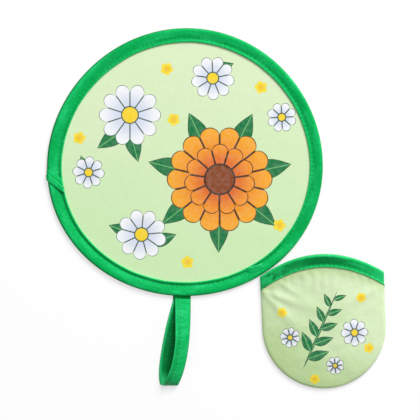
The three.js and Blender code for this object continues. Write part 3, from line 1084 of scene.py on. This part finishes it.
def pouch_panel(name, height, made, outside_up):
    """A panel in a grid that is closer at the sides and the bottom, where it curves."""
    verts, uv = [], []
    for x in pouch_columns(POUCH_COLUMNS):
        low, high = bottom_line(x), mouth_line(x)
        for share in shares(POUCH_ROWS):
            y = low + (high - low) * share ** (2 - share)
            verts.append(pouch_point(x, y, height(x, y)))
            uv.append((0.5 + x / POUCH_SPAN, 0.5 + y / POUCH_SPAN))
    faces = grid_faces(POUCH_COLUMNS + 1, POUCH_ROWS + 1)
    return new_piece(name, verts, faces if outside_up else turned_over(faces), uv, made)


# Places and sizes of the pouch's print, in millimetres from the middle of its round bottom
BRANCH_ROOT = (-20, -36)
BRANCH_TURN = 64
BRANCH = (78, 2.4)
BRANCH_LEAVES = 9
BRANCH_LEAF = (20, 9)
BRANCH_LEAF_TURN = 48
BRANCH_LEAF_PITCH = 7
BRANCH_BARE = 10
POUCH_FLOWERS = [
    (BUTTERCUP, (-36, 14), 4.5, 5, 10), (BUTTERCUP, (33, 24), 4.5, 5, 30), (BUTTERCUP, (38, -20), 4.5, 5, 0),
    (BUTTERCUP, (-10, -45), 4.5, 5, 20),
    (DAISY, (26, -6), 12, 8, 0), (DAISY, (-30, -8), 9, 8, 12), (DAISY, (8, -34), 8, 8, 20),
]


def print_branch(colour, place):
    """A straight stem with leaves to both sides by turns, smaller towards its tip."""
    root = Vector(BRANCH_ROOT)
    aim = Vector((cos(radians(BRANCH_TURN)), sin(radians(BRANCH_TURN))))
    colour = print_leaf(colour, place, root, BRANCH_TURN, *BRANCH)
    for step in range(BRANCH_LEAVES):
        turn = BRANCH_TURN + (BRANCH_LEAF_TURN if step % 2 else -BRANCH_LEAF_TURN)
        at = root + aim * (BRANCH_BARE + BRANCH_LEAF_PITCH * step)
        colour = print_leaf(colour, place, at, turn, BRANCH_LEAF[0] - step, BRANCH_LEAF[1] - step / 2)
    return colour


def pouch_cloth(name, printed):
    """Cloudy pale green with painted shade towards the lower left and painted shadow below the tape, with
    branch and flowers on the front.
    """
    made, shader = new_material(name, **CLOTH_FINISH)
    metres, place = cloth_place(made, POUCH_SPAN)
    x, y = metres.axes()
    # Painted shade: darker towards the lower left, away from the light.
    aslant = x * 0.6 + y * 0.8 + (metres.noise(26.0) - 0.5) * 0.12
    colour = aslant.ease(-0.055, 0.035).mix(POUCH_SHADE, POUCH_LIGHT)
    # Painted shadow on the cloth below the mouth tape.
    to_tape = POUCH_SIDE + POUCH_ARCH - POUCH_TAPE - (y + x * x * (POUCH_ARCH / pouch_half ** 2))
    colour = to_tape.fade(-0.002, 0.011, 0.9).mix(colour, POUCH_SHADE)
    if printed:
        colour = print_branch(colour, place)
        for flower in POUCH_FLOWERS:
            colour = print_blossom(colour, place, *flower)
    woven(shader, colour, metres, 0.08, metres.noise(160.0, 3.0), POUCH_RELIEF)
    return made


plain_cloth = pouch_cloth("pouch_plain", False)
front = pouch_panel("pouch_front", front_height, pouch_cloth("pouch_print", True), outside_up=True)
back = pouch_panel("pouch_back", back_height, plain_cloth, outside_up=False)
for piece, node in ((front, "pouch_front_panel"), (back, "pouch_back_panel")):
    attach(piece, "pouch")
    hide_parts(node)

# Pouch seam
# The two panels' seam allowance, of their own cloth, turned to the inside and overlocked along its edge.
# It is held by the side seam and lies between the panels, a little wavy where it is free.
SEAM_INSET = 0.0015
SEAM_WIDTH = 0.004
SEAM_STEPS = 120
SEAM_WAVE = 0.0002
SEAM_WAVE_TURN = 900


def seam_strip():
    """A strip down one side, round the bottom and up the other side."""
    verts, uv = [], []
    side = POUCH_SIDE - POUCH_TAPE
    arc = pi * pouch_half
    for way in shares(SEAM_STEPS):
        run = (2 * side + arc) * way
        angle = pi + min(max(run - side, 0.0), arc) / pouch_half
        straight = max(side - run, run - side - arc, 0.0)
        for share in (0, 0.5, 1):
            inset = SEAM_INSET + SEAM_WIDTH * share
            reach = pouch_half - inset
            wave = SEAM_WAVE * sin(run * SEAM_WAVE_TURN) * share
            y = reach * sin(angle) + straight
            verts.append(pouch_point(reach * cos(angle), y, POUCH_SEAM_HEIGHT + wave))
            uv.append((run, inset))
    return new_piece("pouch_seam_strip", verts, grid_faces(SEAM_STEPS + 1, 3), uv, plain_cloth)


seam = seam_strip()
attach(seam, "pouch")
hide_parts("pouch_seam")

# Pouch mouth tapes
# The rim's tape again, folded over the mouth edge of each panel and sewn through near its lower edge.
# It is a little narrower in the middle of the arch, and the ends of its thread were left hanging.
MOUTH_NARROW = 0.0016
MOUTH_SEWN = 0.0019
MOUTH_ROLL = 0.0008
MOUTH_RISE = 0.0011
MOUTH_CREST = 0.0026
MOUTH_CREST_DEPTH = 0.0007
MOUTH_GROOVE = 0.0005
MOUTH_HEM = 0.0007
MOUTH_INSIDE = 0.4
MOUTH_FOLD = POUCH_TAPE + MOUTH_ROLL
MOUTH_COLUMNS = 120
MOUTH_UNEVEN = 0.00012
MOUTH_WAVES = 300
FIRST_STITCH = 0.3
MOUTH_STITCH_LIFT = 0.00056
BACK_FULLNESS = 0.35
LEAN_STEP = 0.0008
LEAN_SHARE = 0.4
TAIL_INSET = 0.0002
TAIL_LIFT = 0.0005
TAIL_STEPS = 6
TAIL_DROP = Vector((0, -0.0009, -0.0001))
TAIL_SWAY = Vector((0.0002, 0, 0))
MOUTH_LIGHT = paint(46, 212, 124)
MOUTH_COLOURS = (paint(20, 190, 96), paint(6, 124, 50), MOUTH_LIGHT)


def mouth_width(x):
    return POUCH_TAPE - MOUTH_NARROW * arched(x)


def mouth_profile(x):
    """The section as depth below the mouth edge and lift off the panel, the outside first."""
    crest = (MOUTH_CREST_DEPTH, MOUTH_CREST * (1 + arched(x)) / 2)
    fold = -(MOUTH_ROLL + MOUTH_RISE * arched(x))
    outside = folded_section(mouth_width(x), MOUTH_SEWN, MOUTH_GROOVE, MOUTH_HEM, crest, fold)
    return outside + [(depth, -MOUTH_INSIDE * lift) for depth, lift in reversed(outside[:-1])]


def panel_lean(x, curved):
    """The way that a panel faces across its mouth."""
    if not curved:
        return Vector((0, 0, 1))
    rise = swell(x + LEAN_STEP, POUCH_SIDE) - swell(x - LEAN_STEP, POUCH_SIDE)
    return Vector((-rise, 0, 2 * LEAN_STEP)).normalized()


def mouth_tape(name, curved, base):
    """A tape over one panel's mouth edge, with stitches and a thread's tail at each end."""
    verts, uv = [], []
    out = 1 if curved else -1
    fullness = 1.0 if curved else BACK_FULLNESS

    def tape_point(x, depth, lift):
        lean = panel_lean(x, curved)
        y = mouth_line(x) - depth
        height = base
        if curved:
            height += swell(x, POUCH_SIDE) + mouth_lift(x, min(y, mouth_line(x)))
        stand = out * fullness * lift
        return pouch_point(x + LEAN_SHARE * lean.x * stand, y, height + lean.z * stand)

    def sewn_point(x, lift):
        return tape_point(x, mouth_width(x) - MOUTH_SEWN, lift)

    for x in pouch_columns(MOUTH_COLUMNS):
        profile = mouth_profile(x)
        for depth, lift in profile:
            ripple = MOUTH_UNEVEN * noise.noise(Vector((x, depth, 0)) * MOUTH_WAVES)
            verts.append(tape_point(x, depth, lift + copysign(ripple, lift)))
            uv.append((x, copysign(1, lift) * (mouth_width(x) - depth)))
    faces = closed_tube(MOUTH_COLUMNS + 1, len(profile))
    if not curved:
        faces = turned_over(faces)
    tape_faces = len(faces)
    pitch = STITCH + STITCH_GAP
    for count in range(int(POUCH_WIDTH / pitch)):
        start = -pouch_half + (count + FIRST_STITCH) * pitch
        ends = [sewn_point(x, MOUTH_STITCH_LIFT) for x in (start, start + STITCH)]
        add_stitch(verts, faces, uv, *ends, panel_lean(start, curved) * out)
    for side in (-1, 1):
        x = side * (pouch_half - TAIL_INSET)
        place = sewn_point(x, TAIL_LIFT)
        for step in range(TAIL_STEPS):
            below = place + TAIL_DROP + TAIL_SWAY * sin(step + side)
            add_stitch(verts, faces, uv, place, below, Vector((0, 0, 1)))
            place = below
    return new_piece(name, verts, faces, uv, mouth_satin, thread, second_from=tape_faces)


def mouth_marks(colour, place):
    """Painted shade in the middle of the arch and in patches at the left where it crumples, and painted
    highlights at the ends and along the fold.
    """
    along, across = place.axes()
    depth = abs(across)
    off_middle = abs(along) + place.noise(60.0) * 0.02
    # Painted highlight along the fold.
    colour = depth.ease(MOUTH_FOLD - 0.0028, MOUTH_FOLD - 0.0012, 0.0, 0.5).mix(colour, MOUTH_LIGHT)
    # Painted highlights at the ends of the arch.
    colour = off_middle.ease(0.035, 0.065, 0.0, 0.6).mix(colour, MOUTH_LIGHT)
    # Painted shade on the tape's body in the middle of the arch.
    upper = depth.fade(MOUTH_FOLD - 0.0032, MOUTH_FOLD - 0.0016)
    lower = depth.ease(MOUTH_SEWN + 0.0004, MOUTH_SEWN + 0.0018)
    colour = (lower * upper * off_middle.fade(0.010, 0.050, 0.6)).mix(colour, TAPE_SHADE)
    # Painted shade in patches at the left, standing in for crumples.
    crumple_shade = place.noise(150.0).ease(0.42, 0.68) * along.fade(-0.042, -0.012, 0.7)
    return (crumple_shade * upper).mix(colour, TAPE_SHADE)


mouth_satin = satin_tape("mouth_satin", MOUTH_COLOURS, MOUTH_SEWN, MOUTH_FOLD, ALONG, 0.2, 0.0, mouth_marks)
mouth_front = mouth_tape("mouth_front", True, POUCH_SEAM_HEIGHT)
mouth_back = mouth_tape("mouth_back", False, POUCH_BACK_HEIGHT)
for piece, node in ((mouth_front, "pouch_mouth_tape_front"), (mouth_back, "pouch_mouth_tape_back")):
    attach(piece, "pouch")
    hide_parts(node)

# Table, light and camera
# A plain white table, a large soft lamp from the upper right and an even room, seen from straight above.
# The camera is set by the ring's middle and width in the photograph, in its pixels.
PHOTO_PIXELS = 420
RING_PIXEL = (185.15, 163.25)
RING_PIXELS = 276
PIXEL = FAN_WIDTH / RING_PIXELS
CAMERA_HEIGHT = 2.0
FLOOR_SIZE = 6.0
TABLE_WHITE = (0.9, 0.9, 0.9, 1)
TABLE_GLOW = 1.1
TABLE_GLOW_SHARE = 0.58
LAMP_SIZE = 2.2
LAMP_POWER = 164
LAMP_PLACE = Vector((1.5, 2.7, 2.5))
LAMP_AIM = Vector((0, 0.1, 0))
ROOM_LIGHT = 0.34
WHITE = (1, 1, 1, 1)


def white_table():
    """White to the camera, with the part's soft shadow kept."""
    made, shader = new_material("white_table", Roughness=0.9, Specular_IOR_Level=0.0, Base_Color=TABLE_WHITE)
    path = by_name(add_node(made.node_tree, "LightPath", {}))
    mirrored = path["Is Glossy Ray"].math("MAXIMUM", path["Is Transmission Ray"])
    seen = path["Is Camera Ray"].math("MAXIMUM", mirrored)
    glow = seen.into("Emission", {"Color": WHITE, "Strength": TABLE_GLOW})
    both = seen.into("MixShader", {0: seen * TABLE_GLOW_SHARE, 1: Value(shader), 2: glow})
    feed(made.node_tree.nodes["Material Output"].inputs["Surface"], both)
    return made


def place_object(name, data, location):
    """Links a new object to the scene."""
    made = bpy.data.objects.new(name, data)
    made.location = location
    scene.collection.objects.link(made)
    return made


uv = [(0, 0), (1, 0), (1, 1), (0, 1)]
corners = [((x - 0.5) * FLOOR_SIZE, (y - 0.5) * FLOOR_SIZE, 0) for x, y in uv]
table = new_piece("table", corners, [(0, 1, 2, 3)], uv, white_table())

lens = bpy.data.cameras.new("camera")
lens.sensor_width = 36
lens.lens = lens.sensor_width * (CAMERA_HEIGHT - RIM_HALF) / (PHOTO_PIXELS * PIXEL)
view_x = ring_middle.x + (PHOTO_PIXELS / 2 - RING_PIXEL[0]) * PIXEL
view_y = ring_middle.y - (PHOTO_PIXELS / 2 - RING_PIXEL[1]) * PIXEL
scene.camera = place_object("camera", lens, (view_x, view_y, CAMERA_HEIGHT))

softbox = bpy.data.lights.new("softbox", "AREA")
softbox.shape = "DISK"
softbox.size = LAMP_SIZE
softbox.energy = LAMP_POWER
lamp = place_object("softbox", softbox, LAMP_PLACE)
lamp.rotation_euler = (LAMP_AIM - LAMP_PLACE).to_track_quat("-Z", "Y").to_euler()

room = bpy.data.worlds.new("room")
room.use_nodes = True
sky = room.node_tree.nodes["Background"].inputs
sky["Color"].default_value = WHITE
sky["Strength"].default_value = ROOM_LIGHT
scene.world = room
scene.view_settings.view_transform = "Standard"
